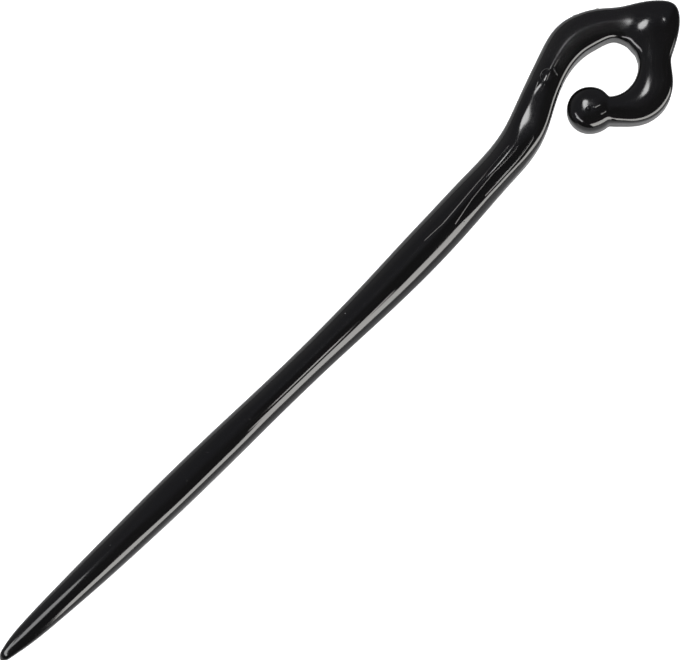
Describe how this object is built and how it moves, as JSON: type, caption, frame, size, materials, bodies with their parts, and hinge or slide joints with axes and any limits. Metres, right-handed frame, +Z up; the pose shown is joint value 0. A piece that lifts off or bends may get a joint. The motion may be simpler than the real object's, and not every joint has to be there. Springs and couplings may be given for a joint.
{
  "type": "hairpin",
  "caption": "One-pronged hairpin: a tapering polished black stick whose head curls round an open eye and ends in a round knob.",
  "frame": {"origin": "middle of the stick's outline seen from above, on the surface that it lies on", "axes": "+X runs along the stick from the tip to the crown of the curl, +Z points up out of the surface that the stick lies on, and the eye of the curl opens along Z"},
  "size_m": [0.1748, 0.0252, 0.0066],
  "materials": {
    "black_horn": "black horn, carved in one piece and polished to a high gloss"
  },
  "bodies": {
    "root": {"hair_stick": "black_horn"}
  },
  "joints": []
}
